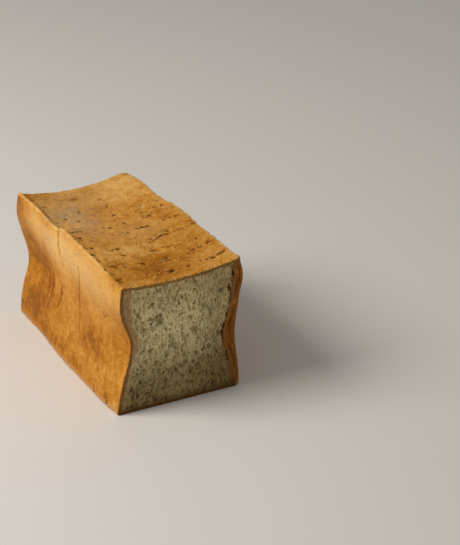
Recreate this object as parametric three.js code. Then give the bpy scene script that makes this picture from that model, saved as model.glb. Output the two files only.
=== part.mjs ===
// A sandwich loaf baked in a square lidded tin, with its first slices cut off. The crust has sunk between its
// corners as it cooled: the side walls are drawn in below a bulging shoulder, the top sags into a shallow saddle,
// and two deep pleats pinch one side. It is one baked piece, so it is one solid.
//
// The frame: +Y runs along the loaf from the cut face to the far crust, +X is to the right of the cut face, +Z is
// up, and the origin is at the middle of the base. Lengths are in millimetres.

import * as THREE from "three";
import { LoftGeometry } from "three/addons/geometries/LoftGeometry.js";

// Driving dimensions.
const LENGTH = 221; // of the plain box that is sunk into the loaf's shape, from cut face to far crust
const HALF_WIDTH = 57.5; // of the same box
const HEIGHT = 125; // of the same box
const EDGE_RADIUS = 2.5; // of the crust's long edges and the far crust's rim
const RIM_HALF_WIDTH = 57.6; // of the loaf at its top edges
const SHOULDER_BULGE = 1.2; // how far a wall swells below its top edge
const SHOULDER_HEIGHT = 106;
const SHOULDER_SPREAD = 14;

// Fineness of the surface.
const STEPS_ACROSS = 13;
const STEPS_UP = 22;
const STEPS_ROUND_EDGE = 4;
const FINE_SPAN = [116, 184]; // the stretch of the loaf that holds its buckle and its pleats
const STEPS_BEFORE = 19;
const STEPS_IN_FINE_SPAN = 23;
const STEPS_AFTER = 8;
const CUT_RINGS = [0, 0.5]; // from the middle of the cut face, as shares of its half size
const END_RINGS = [0.84, 0.67, 0.5, 0.33, 0.16, 0]; // to the middle of the far crust, likewise

// How the loaf's edges run along it: [distance from the cut face, height or half-width].
const LEFT_RIM = [
  [0, 122.8], [40, 125], [90, 127.4], [121, 128], [129, 125], [141, 123.6], [180, 126.3], [LENGTH, 125.7],
];
const RIGHT_RIM = [
  [0, 127.6], [60, 129.4], [112, 131.3], [125, 131], [135, 128.3], [160, 127.4], [180, 128], [LENGTH, 128.3],
];
const LEFT_FOOT = [[0, 61.8], [25, 62.9], [70, 61.3], [120, 60.1], [165, 57.6], [LENGTH, 57.6]];
const RIGHT_FOOT = [[0, 60.8], [110, 59.8], [LENGTH, 57.8]];
const SAG = [[0, 4.4], [70, 3.8], [150, 6.5], [LENGTH, 7.8]]; // of the top, midway between its edges

// Where a side wall has sunk or, below 0, swollen: centre along and up the wall, depth, and spread along, above
// and below.
const LEFT_HOLLOWS = [
  { along: -6, up: 66, depth: 10.8, length: 46, above: 22, below: 38 },
  { along: 100, up: 50, depth: 5, length: 48, above: 34, below: 30 },
  { along: 192, up: 58, depth: 12.3, length: 46, above: 27, below: 25 },
  { along: 224, up: 107, depth: -1.2, length: 28, above: 12, below: 16 },
  { along: 105, up: 0, depth: -3, length: 75, above: 10, below: 10 },
];
const RIGHT_HOLLOWS = [
  { along: -4, up: 104, depth: -2.8, length: 34, above: 14, below: 14 },
  { along: -4, up: 52, depth: 4.4, length: 46, above: 24, below: 28 },
  { along: 82, up: 58, depth: 6.5, length: 44, above: 34, below: 32 },
  { along: 176, up: 62, depth: 10.5, length: 48, above: 30, below: 30 },
];

// Pleats pressed into a wall: a line of [along, up] points, its depth and its half-width.
const LEFT_PLEATS = [
  { line: [[174, 84], [168, 66], [167, 46]], depth: 4, width: 4.5 },
  { line: [[145, 57], [151, 37]], depth: 2.6, width: 4.5 },
];
const RIGHT_PLEATS = [{ line: [[136, 100], [141, 70], [139, 44]], depth: 3, width: 5.5 }];

// The far crust has sunk too, most at its middle.
const END_HOLLOW = { up: 66, depth: 4.5, cornerDepth: 2.5, spread: 52, reach: 60 };

/** A smooth line through [place, value] stations. */
function along(stations, place) {
  const slope = (i) => {
    const [from, start] = stations[Math.max(i - 1, 0)];
    const [to, end] = stations[Math.min(i + 1, stations.length - 1)];
    return (end - start) / (to - from);
  };
  let i = 0;
  while (i < stations.length - 2 && place > stations[i + 1][0]) i++;
  const [from, start] = stations[i];
  const [to, end] = stations[i + 1];
  const span = to - from;
  const t = THREE.MathUtils.clamp((place - from) / span, 0, 1);
  const rise = t * t * (3 - 2 * t);
  return start * (1 - rise) + end * rise
    + span * t * (1 - t) * ((1 - t) * slope(i) - t * slope(i + 1));
}

/** 1 at the centre, falling smoothly to 0 a couple of spreads away. */
function bell(offset, spread) {
  return Math.exp(-((offset / spread) ** 2));
}

/** How deep one hollow is at a place on its wall. */
function hollowDepth(hollow, s, z) {
  const spread = z > hollow.up ? hollow.above : hollow.below;
  return hollow.depth * bell(s - hollow.along, hollow.length) * bell(z - hollow.up, spread);
}

/** How deep one pleat is at a place on its wall. */
function pleatDepth(pleat, s, z) {
  const place = new THREE.Vector3(s, z, 0);
  const points = pleat.line.map(([a, b]) => new THREE.Vector3(a, b, 0));
  let nearest = Infinity;
  for (let i = 1; i < points.length; i++) {
    const segment = new THREE.Line3(points[i - 1], points[i]);
    const foot = segment.closestPointToPoint(place, true, new THREE.Vector3());
    nearest = Math.min(nearest, foot.distanceTo(place));
  }
  return pleat.depth * bell(nearest, pleat.width);
}

/** A wall's distance from the loaf's middle plane, at a distance from the cut face and a height. */
function wallDistance(foot, hollows, pleats, s, z) {
  const straight = THREE.MathUtils.lerp(along(foot, s), RIM_HALF_WIDTH, z / HEIGHT);
  const shoulder = SHOULDER_BULGE * bell(z - SHOULDER_HEIGHT, SHOULDER_SPREAD);
  const sunk = hollows.reduce((sum, hollow) => sum + hollowDepth(hollow, s, z), 0);
  const pressed = pleats.reduce((sum, pleat) => sum + pleatDepth(pleat, s, z), 0);
  return straight + shoulder - sunk - pressed;
}

/** The top's height, where across runs from -1 at the left edge to 1 at the right one. */
function topHeight(across, s) {
  const straight = THREE.MathUtils.lerp(along(LEFT_RIM, s), along(RIGHT_RIM, s), (across + 1) / 2);
  return straight - along(SAG, s) * (1 - across * across);
}

/** How far the far crust has sunk towards the cut face. */
function endDepth(across, z) {
  const { up, depth, cornerDepth, spread } = END_HOLLOW;
  return (cornerDepth + depth * (1 - across * across)) * bell(z - up, spread);
}

/** Carries a point of the plain box to where the sunken loaf has it. */
function sink({ x, y: s, z }) {
  const across = THREE.MathUtils.clamp(x / HALF_WIDTH, -1, 1);
  const wall = x < 0
    ? wallDistance(LEFT_FOOT, LEFT_HOLLOWS, LEFT_PLEATS, s, z)
    : wallDistance(RIGHT_FOOT, RIGHT_HOLLOWS, RIGHT_PLEATS, s, z);
  const nearEnd = THREE.MathUtils.smoothstep(s, LENGTH - END_HOLLOW.reach, LENGTH);
  return new THREE.Vector3(
    across * wall,
    s - endDepth(across, z) * nearEnd,
    (z / HEIGHT) * topHeight(across, s),
  );
}

/** The plain box's section: up the left wall, over the top, down the right wall and back along the base. */
function boxSection() {
  const corners = [
    new THREE.Vector2(-HALF_WIDTH, 0),
    new THREE.Vector2(-HALF_WIDTH, HEIGHT),
    new THREE.Vector2(HALF_WIDTH, HEIGHT),
    new THREE.Vector2(HALF_WIDTH, 0),
  ];
  const points = [];
  corners.forEach((corner, i) => {
    const next = corners[(i + 1) % 4];
    const steps = i % 2 === 0 ? STEPS_UP : STEPS_ACROSS;
    const side = next.clone().sub(corner);
    const inset = EDGE_RADIUS / side.length();
    const inward = new THREE.Vector2(side.y, -side.x).setLength(EDGE_RADIUS);
    for (let k = 0; k <= steps; k++) {
      const share = THREE.MathUtils.lerp(inset, 1 - inset, k / steps);
      points.push(corner.clone().addScaledVector(side, share));
    }
    // Round the corner at the side's far end.
    const centre = next.clone().addScaledVector(side, -inset).add(inward);
    for (let k = 1; k < STEPS_ROUND_EDGE; k++) {
      const turn = (-Math.PI / 2) * (k / STEPS_ROUND_EDGE);
      const radius = inward.clone().negate().rotateAround(new THREE.Vector2(), turn);
      points.push(centre.clone().add(radius));
    }
  });
  return points;
}

/** The box's section at a distance from the cut face, shrunk about its middle. */
function ring(section, s, share) {
  const middle = HEIGHT / 2;
  return section.map((p) => new THREE.Vector3(p.x * share, s, middle + (p.y - middle) * share));
}

/** Distances from the cut face at which the straight part of the loaf is sampled. */
function stationsAlong() {
  const [from, to] = FINE_SPAN;
  const spans = [
    [0, from, STEPS_BEFORE],
    [from, to, STEPS_IN_FINE_SPAN],
    [to, LENGTH - EDGE_RADIUS, STEPS_AFTER],
  ];
  const places = spans.flatMap(([start, end, steps]) =>
    Array.from({ length: steps }, (_, k) => THREE.MathUtils.lerp(start, end, k / steps)));
  return [...places, LENGTH - EDGE_RADIUS];
}

/** Rings out from the cut face's middle, along to the far crust, round its rim, and in to its middle. */
function rings() {
  const section = boxSection();
  const straight = LENGTH - EDGE_RADIUS;
  const made = CUT_RINGS.map((share) => ring(section, 0, share));
  for (const s of stationsAlong()) made.push(ring(section, s, 1));
  for (let k = 1; k <= STEPS_ROUND_EDGE; k++) {
    const turn = (Math.PI / 2) * (k / STEPS_ROUND_EDGE);
    const inset = EDGE_RADIUS * (1 - Math.cos(turn));
    made.push(ring(section, straight + EDGE_RADIUS * Math.sin(turn), 1 - inset / HALF_WIDTH));
  }
  for (const share of END_RINGS) made.push(ring(section, LENGTH, share));
  return made;
}

/** The loaf's solid, moved so that the middle of its base is the origin. */
function loafGeometry() {
  const sections = rings().map((points) => points.map(sink));
  const geometry = new LoftGeometry(sections, { capStart: false, capEnd: false });
  geometry.computeBoundingBox();
  const middle = geometry.boundingBox.getCenter(new THREE.Vector3());
  geometry.translate(-middle.x, -middle.y, -geometry.boundingBox.min.z);
  return geometry;
}

const crust = new THREE.MeshStandardMaterial({ color: 0xcf9548, roughness: 0.8, metalness: 0 });
const loaf = new THREE.Mesh(loafGeometry(), crust);
loaf.name = "loaf";

const part = new THREE.Group();
part.add(loaf);

export default part;
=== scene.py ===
"""A tin loaf with its first slices cut off: a golden crust sunk between its corners, and an open crumb.

Run as a script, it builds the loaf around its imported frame, on a pale floor in soft studio light. It is laid
out as an add-on: the loaf, its loose crumbs and the stage are operators, and their sizes and colours are
properties.

Lengths are millimetres until a mesh is made. A place is written (x, s, z): x to the right of the cut face,
s along the loaf from the cut face to the far crust, and z up from the base. It is a place in a plain box,
which `sink` carries to the loaf's own shape.
"""

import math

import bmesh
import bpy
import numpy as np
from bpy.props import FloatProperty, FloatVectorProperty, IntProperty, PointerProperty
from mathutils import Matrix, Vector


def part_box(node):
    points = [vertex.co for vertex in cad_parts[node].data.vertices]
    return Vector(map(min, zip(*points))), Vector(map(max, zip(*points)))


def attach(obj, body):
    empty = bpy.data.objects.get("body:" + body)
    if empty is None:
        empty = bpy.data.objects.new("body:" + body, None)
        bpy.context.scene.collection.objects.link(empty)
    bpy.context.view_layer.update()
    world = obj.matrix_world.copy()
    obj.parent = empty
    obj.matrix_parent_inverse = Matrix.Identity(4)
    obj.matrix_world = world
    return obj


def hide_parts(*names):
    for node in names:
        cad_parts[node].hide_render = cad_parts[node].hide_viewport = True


bl_info = {
    "name": "Tin Loaf",
    "version": (1, 0, 0),
    "blender": (4, 5, 0),
    "location": "3D View > Sidebar > Tin Loaf",
    "description": "Builds a cut tin loaf with its crust, its crumb and a plain stage",
    "category": "Mesh",
}

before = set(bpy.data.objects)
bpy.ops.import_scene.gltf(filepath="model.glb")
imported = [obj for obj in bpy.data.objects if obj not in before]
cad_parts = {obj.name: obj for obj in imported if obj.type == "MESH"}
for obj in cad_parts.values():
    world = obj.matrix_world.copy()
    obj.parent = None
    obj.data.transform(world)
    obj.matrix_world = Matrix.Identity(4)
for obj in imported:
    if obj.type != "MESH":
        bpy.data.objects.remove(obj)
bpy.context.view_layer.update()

LOAF_LOW, LOAF_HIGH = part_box("loaf")
MM = 0.001
SEED = 7

# The plain box that is sunk into the loaf's shape, and the loaf's own edges, as in the CAD part.
LENGTH = 221.0
HALF_WIDTH = 57.5
HEIGHT = 125.0
EDGE_RADIUS = 2.5
RIM_HALF_WIDTH = 57.6
SHOULDER_BULGE, SHOULDER_HEIGHT, SHOULDER_SPREAD = 1.2, 106.0, 14.0
LEFT_RIM = [
    (0, 122.8), (40, 125), (90, 127.4), (121, 128),
    (129, 125), (141, 123.6), (180, 126.3), (LENGTH, 125.7),
]
RIGHT_RIM = [
    (0, 127.6), (60, 129.4), (112, 131.3), (125, 131),
    (135, 128.3), (160, 127.4), (180, 128), (LENGTH, 128.3),
]
LEFT_FOOT = [(0, 61.8), (25, 62.9), (70, 61.3), (120, 60.1), (165, 57.6), (LENGTH, 57.6)]
RIGHT_FOOT = [(0, 60.8), (110, 59.8), (LENGTH, 57.8)]
SAG = [(0, 4.4), (70, 3.8), (150, 6.5), (LENGTH, 7.8)]

# Where a wall has sunk or, below 0, swollen: centre along and up it, depth, and spread along it, above it and
# below it.
LEFT_HOLLOWS = [
    (-6, 66, 10.8, 46, 22, 38),
    (100, 50, 5, 48, 34, 30),
    (192, 58, 12.3, 46, 27, 25),
    (224, 107, -1.2, 28, 12, 16),
    (105, 0, -3, 75, 10, 10),
]
RIGHT_HOLLOWS = [
    (-4, 104, -2.8, 34, 14, 14),
    (-4, 52, 4.4, 46, 24, 28),
    (82, 58, 6.5, 44, 34, 32),
    (176, 62, 10.5, 48, 30, 30),
]
END_HOLLOW_UP, END_HOLLOW_SPREAD, END_HOLLOW_REACH = 66.0, 52.0, 60.0
END_CORNER_DEPTH, END_MIDDLE_DEPTH = 2.5, 4.5
BLUNT_CORNER = 3.6  # how far the far right corner of the top is rounded down

# Creases pressed or torn into a face: the line's places, half-width, depth and how dark the painted shade in
# the crease is.
LEFT_CREASES = [
    # The two deep pleats, and the fold in each.
    ([(172, 84), (171, 70), (172, 56), (170, 42)], 3.8, 2.3, 0.1),
    ([(162, 96), (157, 87), (153.5, 78), (153.5, 69), (156.5, 61), (159.5, 53), (160, 43)], 2.0, 3.4, 0.95),
    ([(141, 55), (146, 46), (149, 36)], 3.6, 2.0, 0.1),
    ([(128, 68), (132, 60), (137, 51), (142, 43), (147, 35)], 1.6, 3.0, 0.7),
    # The long splits, then the short ones.
    ([(127, 126), (127.3, 117), (126.4, 109), (124, 101), (120, 94), (116.5, 89)], 1.6, 2.8, 1.0),
    ([(82, 106), (82, 97), (84, 86), (87, 74), (91, 60), (91, 46), (89, 34)], 0.95, 1.6, 0.9),
    ([(152, 122), (154, 118)], 0.9, 1.4, 0.5),
    ([(49, 52), (48, 46), (44, 38)], 0.9, 1.2, 0.75),
    ([(38, 77), (28, 84)], 0.7, 0.8, 0.45),
    ([(22, 10), (20.4, 6), (21, 0)], 1.2, 2.4, 1.0),
    ([(27, 6), (18, 6.5)], 0.7, 1.2, 0.8),
    ([(45, 6), (44.5, 0)], 1.0, 1.6, 0.9),
]
RIGHT_CREASES = [
    # The fissures of the curled edge.
    ([(1.6, 118), (2.2, 108), (1.2, 98)], 0.28, 0.8, 0.85),
    ([(0.5, 104), (1.0, 96), (0.5, 88)], 0.22, 0.8, 0.8),
    ([(2.2, 92), (2.7, 82), (1.7, 70)], 0.26, 0.8, 0.85),
    ([(0.8, 80), (1.3, 68), (0.6, 58)], 0.28, 1.0, 0.95),
    ([(2.0, 64), (1.4, 54), (2.2, 42)], 0.26, 0.8, 0.85),
    ([(0.7, 44), (1.2, 32), (0.8, 18)], 0.25, 0.8, 0.85),
    ([(2.0, 32), (2.4, 20), (1.8, 10)], 0.2, 0.6, 0.7),
    # The soft folds of the wall.
    ([(136, 100), (139, 84), (141, 66), (139, 44)], 4.5, 3.0, 0.25),
    ([(60, 108), (64, 96), (63, 84), (59, 74)], 1.3, 1.2, 0.4),
    ([(176, 56), (172, 46), (173, 34)], 1.5, 1.1, 0.35),
]
END_CREASES = [
    ([(-22, 98), (-19, 86), (-21, 72), (-25, 60)], 1.3, 1.1, 0.4),
    ([(31, 76), (33, 69), (32, 62)], 1.3, 1.0, 0.35),
]
TOP_CREASES = [
    ([(-15, 194.6), (-4, 195.4)], 1.6, 2.6, 0.95),
    ([(-28, 196.4), (-16, 197)], 0.9, 1.0, 0.55),
    ([(9, 193), (16, 193.6)], 0.5, 0.7, 0.4),
    ([(33, 121.4), (38, 122.8), (45, 123.6)], 1.1, 1.8, 0.85),
    ([(36, 101.4), (39, 103.6), (46, 102.4)], 0.6, 0.9, 0.5),
    ([(2.6, 68.6), (9, 69.8)], 1.0, 1.7, 0.85),
    ([(9, 69.8), (16.5, 74), (22.8, 77.5)], 1.1, 1.9, 0.9),
    ([(-6.6, 71), (-5.8, 73.6)], 0.7, 1.2, 0.6),
    ([(-50, 39.8), (-36, 41.8)], 1.0, 1.8, 0.9),
    ([(-36, 41.8), (-30, 38.6)], 0.6, 1.0, 0.6),
    ([(-57, 14.6), (-50, 17.4), (-46, 19.2)], 0.6, 1.4, 0.8),
    ([(44, 17.6), (53.5, 20.4)], 1.2, 2.0, 0.95),
    ([(38, 16.6), (41, 17.2)], 1.0, 1.6, 0.8),
    ([(46, 40.4), (50, 42.6), (54.5, 41.2)], 1.1, 2.0, 0.9),
    ([(36, 37.4), (41, 39.4)], 1.1, 1.8, 0.85),
    ([(27, 36.6), (30, 37)], 0.9, 1.5, 0.75),
]

# Small pits in the top and in the left wall: place, length, depth and how dark the painted shade in the pit
# is.
TOP_PITS = [
    (-30, 181, 2.2, 0.9, 0.6), (-21, 162, 2.2, 0.9, 0.6), (12, 160, 2.6, 0.8, 0.5),
    (-37, 154, 3, 1.1, 0.8), (-42, 147.5, 2.2, 0.8, 0.6), (-13, 146, 2.2, 0.8, 0.5),
    (-6.5, 146, 2.2, 0.7, 0.4), (11, 147, 3, 0.7, 0.4), (-36, 138, 3.2, 0.8, 0.5), (-39, 130, 3, 0.8, 0.5),
    (-14, 112, 2.6, 0.9, 0.6), (3.5, 114, 3, 0.9, 0.6), (23.5, 120, 3.4, 1.2, 0.8),
    (-48, 96, 4.6, 1.2, 0.7), (18, 99, 4, 1.5, 0.95), (-47, 78.4, 4, 1.5, 1), (56, 77, 3, 1.6, 0.6),
    (-26.5, 57, 4, 1.4, 0.8), (16, 54, 3.6, 1.4, 0.9), (6, 32.5, 2.6, 1.2, 0.8), (26, 34, 2.8, 1.2, 0.8),
    (13, 31, 2.2, 0.7, 0.4), (-8, 33, 2, 0.6, 0.35), (24, 64, 2, 0.6, 0.3), (34, 56, 2, 0.6, 0.35),
    (31, 160, 2, 0.6, 0.3), (4, 178, 2, 0.6, 0.3), (-16, 176, 2.4, 0.6, 0.35), (-52, 122, 2.4, 0.8, 0.4),
    (44, 63, 2.4, 0.7, 0.4), (-12, 93, 2, 0.5, 0.25), (40, 176, 2.6, 0.7, 0.35),
]
LEFT_PITS = [
    (76, 39, 4.2, 0.7, 0.55), (44, 52, 3, 0.8, 0.6), (43, 24, 3.4, 0.9, 0.6), (49, 61, 2, 0.6, 0.5),
    (53, 62, 1.8, 0.6, 0.5), (56, 59, 1.6, 0.5, 0.4), (64, 55, 1.8, 0.5, 0.4), (115, 44, 2, 0.5, 0.3),
    (160, 23, 3, 0.6, 0.45), (62, 102, 2, 0.4, 0.3), (20, 18, 2.4, 0.5, 0.35), (12, 40, 2, 0.4, 0.3),
    (30, 33, 1.8, 0.5, 0.35), (204, 32, 2, 0.5, 0.3), (72, 76, 2, 0.4, 0.3), (8, 60, 1.8, 0.4, 0.3),
]
# Rows of small slits that the lid has scored across the top: where the row crosses the left and the right
# edge, the share of it that is slit, and how dark the painted shade in the slits is.
PIT_ROWS = [
    (14, 17, 0.30, 0.75), (36, 38, 0.30, 0.8), (52, 56, 0.24, 0.65), (67, 78, 0.30, 0.75),
    (80, 84, 0.16, 0.6), (97, 101, 0.26, 0.8), (112, 119, 0.28, 0.7), (130, 134, 0.22, 0.65),
    (146, 148, 0.22, 0.6), (163, 166, 0.16, 0.5), (181, 184, 0.16, 0.55), (198, 201, 0.10, 0.45),
]

# Holes in the crumb that are big enough to have a place: x, z, width, height and depth.
CRUMB_HOLES = [
    (-19, 82.5, 7.5, 7.5, 2.6), (14, 67.5, 7, 7.5, 2.2), (-27.5, 101, 4.2, 4.6, 2.2),
    (-5, 101, 3.4, 3.2, 2.4), (1.5, 101.5, 4.4, 3, 1.9), (29.5, 79, 3, 4.2, 2.4), (-31, 15, 6.5, 2, 3),
    (-33, 47, 3, 3.4, 1.9), (-10, 33, 3.4, 3, 1.8), (17, 44, 4, 4, 1.8), (40, 101, 2.6, 4, 2.2),
    (19, 92, 3, 3, 1.6), (-43, 88, 1.8, 6, 1.8), (-47, 22, 2.4, 3.4, 1.8), (27, 88, 2.4, 3.2, 1.8),
    (3, 55, 3, 2.6, 1.5),
]
# Where the crust has come away from the crumb at the right of the cut, as creases are given; their darkness is
# painted shade in the gaps.
CRUST_GAPS = [
    ([(54.6, 116), (55.6, 108)], 0.7, 2.6, 0.75),
    ([(50.4, 102), (51.6, 98)], 0.8, 3.0, 0.8),
    ([(54.4, 92), (54.0, 85)], 0.5, 1.6, 0.45),
    ([(53.4, 78), (54.6, 71)], 0.5, 1.8, 0.5),
    ([(54.8, 64), (53.4, 57), (53.8, 50)], 1.1, 4.0, 0.9),
    ([(55, 38), (54.4, 28)], 0.5, 1.8, 0.5),
]
# The crumb's threads: how tall each layer is beside its width, and how fine it is.
THREADS = [(0.45, 210.0), (0.6, 380.0)]
# How far the crust curls in over the right of the cut, from the base up, and how far back the curl reaches.
CURL = [(0, 3), (30, 7), (58, 10.5), (84, 7), (101, 8.6), (114, 7), (HEIGHT, 2.6)]
CURL_REACH = 4.5
CURL_SWELL = 1.8  # how far the wall swells out just behind the curl

# Broad colour of the crust: where, how widely, and how much darker (or, below 0, paler) it has baked.
LEFT_TONES = [
    ((140, 112), (64, 12), -0.24), ((60, 108), (60, 14), -0.24), ((118, 92), (26, 22), -0.14),
    ((200, 64), (36, 26), 0.36), ((160, 62), (16, 26), 0.12), ((128, 58), (20, 16), 0.12),
    ((198, 88), (24, 10), 0.18), ((48, 50), (34, 20), 0.28), ((74, 40), (14, 9), 0.18),
    ((0, 66), (22, 26), 0.16), ((216, 114), (16, 15), 0.60), ((120, 30), (70, 14), 0.08),
    ((190, 22), (46, 26), 0.34), ((100, 8), (110, 12), 0.20), ((26, 74), (12, 12), 0.08),
    ((130, 80), (14, 10), 0.12),
]
TOP_TONES = [
    ((-20, 18), (40, 22), 0.32), ((20, 40), (40, 40), 0.10), ((-2, 60), (22, 16), -0.16),
    ((34, 196), (26, 34), -0.30), ((-46, 214), (16, 14), 0.26), ((0, 120), (40, 40), 0.10),
    ((46, 120), (16, 40), 0.10), ((-6, 78), (44, 10), 0.04), ((44, 152), (14, 12), 0.10),
    ((-12, 194), (9, 6), 0.25), ((-30, 8), (30, 8), -0.08), ((-16, 182), (40, 30), 0.10),
]
# Where flour or dry dough lies on the crust: where, how widely and how thickly.
DUSTY_LEFT = [((140, 106), (70, 16), 0.5), ((60, 100), (50, 18), 0.25)]
DUSTY_TOP = [((-34, 150), (24, 44), 0.75), ((-10, 190), (26, 20), 0.35), ((6, 92), (18, 16), 0.3)]

CRUST_STEP = 1.85  # fineness of the crust's mesh; the cut's is twice as fine, and the creases' four times
CUT_STATIONS = [0.0, 0.1, 0.35, 0.8, 1.4, 2.1, 3.0, 4.1, 5.4, 6.9]  # the mesh's rings just behind the cut
MARK_REACH = 1.15  # how far round a crease or pit the mesh is made finer
LIP_FROM_EDGE, LIP_WIDTH = 2.2, 1.7  # of the lip along the top's left edge
GROOVE_FROM_EDGE, GROOVE_WIDTH, GROOVE_DEPTH = 5.6, 1.3, 0.5  # of the groove beside it
ON_FACE = 1e-4  # how near a face of the plain box a place on it may be said to lie
CUT_MARGIN = 0.3  # round the cut face, free of its holes
DEEPEST_HOLE = 3.0  # a hole as deep as this is shaded most

# The crumb's small pores, the crust's unevenness, its lip and the loose crumbs, in metres.
PORE_SIZE, PORE_DEPTH = 3.1 * MM, 1.7 * MM
SKIN_HEIGHT, EDGE_WEAR, LIP_HEIGHT = 0.45 * MM, 4.2 * MM, 1.1 * MM
CRUMB_SIZE, CRUMB_COUNT = 0.75 * MM, 180000.0

# The stage, in metres.
KEY_PLACE, KEY_SIZE, KEY_COLOUR = Vector((-1.3, 0.3, 1.25)), 0.9, (1.0, 0.95, 0.88)
FILL_COLOUR = (1.0, 0.97, 0.93, 1.0)
FLOOR_REACH = 4.0
LOOKED_AT = Vector((LOAF_HIGH.x + 36.8 * MM, LOAF_LOW.y + 89.5 * MM, LOAF_HIGH.z / 2 - 0.6 * MM))


# == The loaf's shape ==


def through(stations, place):
    """A smooth line through (place, value) stations, read at an array of places."""
    at, value = np.array(stations, float).T
    slope = np.gradient(value, at)
    slope[1:-1] = (value[2:] - value[:-2]) / (at[2:] - at[:-2])
    i = np.clip(np.searchsorted(at, place, "right") - 1, 0, len(at) - 2)
    span = at[i + 1] - at[i]
    t = np.clip((place - at[i]) / span, 0, 1)
    rise = t * t * (3 - 2 * t)
    bend = span * t * (1 - t) * ((1 - t) * slope[i] - t * slope[i + 1])
    return value[i] * (1 - rise) + value[i + 1] * rise + bend


def bell(offset, spread):
    """1 at the centre, falling smoothly to 0 a couple of spreads away."""
    return np.exp(-((offset / spread) ** 2))


def ease(value, start, end):
    """0 before start, 1 after end and smooth between."""
    t = np.clip((value - start) / (end - start), 0, 1)
    return t * t * (3 - 2 * t)


def wobble(a, b, step):
    """A soft irregular wave of about 1 either way, its crests a few steps apart."""
    u, v = a / step, b / step
    return 0.5 * (np.sin(1.1 * u + 0.7 * v) + np.sin(0.6 * u - 1.3 * v + 2) * np.sin(0.37 * u + 0.53 * v + 1))


def hollow_depth(hollows, s, z):
    """How far a wall has sunk at a place."""
    total = np.zeros_like(s)
    for centre, up, depth, length, above, below in hollows:
        total += depth * bell(s - centre, length) * bell(z - up, np.where(z > up, above, below))
    return total


def wall_distance(foot, hollows, s, z):
    """A wall's distance from the loaf's middle plane."""
    level = z / HEIGHT
    straight = through(foot, s) * (1 - level) + RIM_HALF_WIDTH * level
    shoulder = SHOULDER_BULGE * bell(z - SHOULDER_HEIGHT, SHOULDER_SPREAD)
    return straight + shoulder - hollow_depth(hollows, s, z)


def top_height(across, s):
    """The top's height, where across runs from -1 at the left edge to 1 at the right one."""
    right_share = (across + 1) / 2
    straight = through(LEFT_RIM, s) * (1 - right_share) + through(RIGHT_RIM, s) * right_share
    blunted = BLUNT_CORNER * ease(across, 0.84, 1.04) * ease(s, LENGTH - 26, LENGTH - 2)
    return straight - through(SAG, s) * (1 - across * across) - blunted


def curled_in(s, z):
    """How far the right wall curls in beside the cut, on a quarter turn, after swelling a little."""
    t = np.clip(s / CURL_REACH, 0, 1)
    return through(CURL, z) * (1 - np.sqrt(1 - (1 - t) ** 2)) - CURL_SWELL * bell(s - CURL_REACH, 5) * t


def sink(place):
    """Carries places in the plain box to where the sunken loaf has them."""
    x, s, z = place.T
    across = np.clip(x / HALF_WIDTH, -1, 1)
    left = wall_distance(LEFT_FOOT, LEFT_HOLLOWS, s, z)
    right = wall_distance(RIGHT_FOOT, RIGHT_HOLLOWS, s, z) - curled_in(s, z) * ease(across, 0.2, 1)
    near_end = ease(s, LENGTH - END_HOLLOW_REACH, LENGTH)
    end = END_CORNER_DEPTH + END_MIDDLE_DEPTH * (1 - across**2)
    end *= bell(z - END_HOLLOW_UP, END_HOLLOW_SPREAD)
    wall = np.where(x < 0, left, right)
    return np.stack([across * wall, s - end * near_end, z / HEIGHT * top_height(across, s)], axis=1)


def round_edges(place):
    """Rounds the plain box's long edges and far rim, and leaves the rim of the cut sharp."""
    low = np.array([-HALF_WIDTH + EDGE_RADIUS, 0, EDGE_RADIUS])
    high = np.array([HALF_WIDTH - EDGE_RADIUS, LENGTH - EDGE_RADIUS, HEIGHT - EDGE_RADIUS])
    centre = np.clip(place, low, high)
    outward = place - centre
    length = np.linalg.norm(outward, axis=1)
    scale = np.abs(outward).max(axis=1) / np.maximum(length, 1e-9)
    return centre + outward * np.where(length > 0, scale, 1)[:, None]


# == Creases, pits and tones, each on one face of the loaf ==


def line_distance(points, a, b):
    """Distance of places (a, b) from a bent line, and how far along it each is, from 0 to 1."""
    nearest, along = np.full(a.shape, 1e9), np.zeros(a.shape)
    for i, ((a0, b0), (a1, b1)) in enumerate(zip(points, points[1:])):
        da, db = a1 - a0, b1 - b0
        t = np.clip(((a - a0) * da + (b - b0) * db) / (da * da + db * db), 0, 1)
        away = np.hypot(a - a0 - t * da, b - b0 - t * db)
        along = np.where(away < nearest, (i + t) / (len(points) - 1), along)
        nearest = np.minimum(nearest, away)
    return nearest, along


class Marks:
    """The creases and pits of one face, in the face's own two directions."""

    def __init__(self, creases=(), pits=()):
        self.creases = creases
        self.pits = pits

    def reach(self, a, b):
        """Distance from the nearest mark's border."""
        nearest = np.full(a.shape, 1e9)
        for line, width, _, _ in self.creases:
            nearest = np.minimum(nearest, line_distance(line, a, b)[0] - width)
        for at_a, at_b, length, _, _ in self.pits:
            nearest = np.minimum(nearest, np.hypot(a - at_a, b - at_b) - length / 2)
        return nearest

    def read(self, a, b):
        """How deep and how dark the marks are at places (a, b)."""
        depth, dark = np.zeros(a.shape), np.zeros(a.shape)
        for line, width, deep, shade_share in self.creases:
            wander = min(0.7, width * 0.6)
            shifted = a + wander * wobble(a, b, 3.1), b + wander * wobble(b, a, 3.7)
            away, along = line_distance(line, *shifted)
            narrowed = width * (0.4 + 0.6 * np.sin(np.pi * np.clip(along, 0.05, 0.95)))
            depth = np.maximum(depth, deep * bell(away, narrowed))
            dark = np.maximum(dark, shade_share * bell(away, narrowed * 0.8))
        for at_a, at_b, length, deep, shade_share in self.pits:
            ragged = 1 + 0.3 * wobble(a - at_a, b, 1.3)
            tilt = 0.3 * math.sin(7 * at_a + at_b)
            off_line = b - at_b - tilt * (a - at_a)
            away = np.hypot((a - at_a) / (length / 1.5), off_line / (length / 2.5)) * ragged
            depth = np.maximum(depth, deep * bell(away, 0.95))
            dark = np.maximum(dark, shade_share * bell(away, 0.95))
        return depth, dark


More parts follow.
